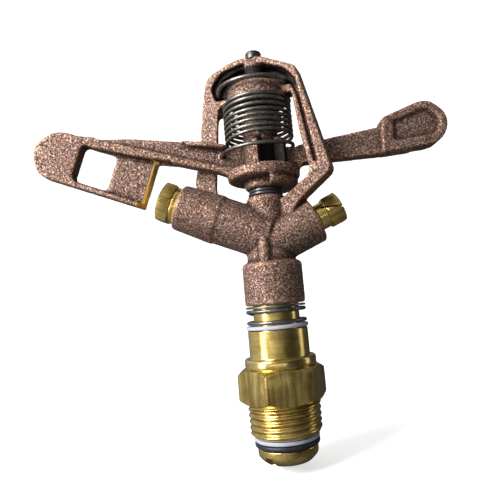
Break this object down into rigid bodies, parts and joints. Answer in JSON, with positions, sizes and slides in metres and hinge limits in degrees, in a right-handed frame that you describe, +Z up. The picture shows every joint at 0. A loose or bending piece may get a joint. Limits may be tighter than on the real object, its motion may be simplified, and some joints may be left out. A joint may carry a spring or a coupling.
{
  "type": "impact sprinkler",
  "caption": "Full-circle impact sprinkler in cast bronze and brass: a sprung arm swings on a pin under a bridge above a turning head with range and spreader nozzles.",
  "frame": {"origin": "on the turning axis, at the underside of the wrench hex, where the riser ends", "axes": "+Z up along the turning axis, -X along the range nozzle's heading, +Y away from the viewer"},
  "size_m": [0.157, 0.0304, 0.1533],
  "materials": {
    "bronze_casting": "shot-blasted bronze casting, brown",
    "brass": "machined brass",
    "spring_steel": "drawn stainless wire and turned pin",
    "white_plastic": "moulded white bearing plastic",
    "grey_plastic": "moulded grey plastic",
    "black_rubber": "black rubber"
  },
  "bodies": {
    "nipple": {"bearing_nipple": "brass", "nipple_top_washer": "white_plastic", "bearing_spring": "spring_steel"},
    "washers": {"lower_slip_washer": "white_plastic", "lower_rubber_washer": "black_rubber"},
    "head": {"bearing_tube": "brass", "body_casting": "bronze_casting", "range_nozzle": "brass", "stream_vane": "grey_plastic", "spreader_nozzle": "brass", "fulcrum_pin": "spring_steel", "spring_seat_washer": "spring_steel", "arm_spring": "spring_steel"},
    "arm": {"arm_casting": "bronze_casting", "arm_bush_lower": "white_plastic", "arm_bush_upper": "white_plastic", "arm_washer_lower": "white_plastic", "arm_washer_upper": "white_plastic"}
  },
  "joints": [
    {"name": "bearing_press", "type": "slide", "parent": "nipple", "child": "washers", "axis": [0, 0, 1], "range_m": [-0.002, 0], "stiffness_N_per_m": 3000, "springref_m": 0.004, "deforming": ["bearing_spring"]},
    {"name": "head_spin", "type": "hinge", "parent": "washers", "child": "head", "pos_m": [0, 0, 0.04], "axis": [0, 0, 1], "continuous": true},
    {"name": "arm_swing", "type": "hinge", "parent": "head", "child": "arm", "pos_m": [0, 0, 0.09], "axis": [0, 0, 1], "range_deg": [0, 120], "stiffness_Nm_per_rad": 0.05, "springref_deg": -34.38, "deforming": ["arm_spring"]}
  ]
}
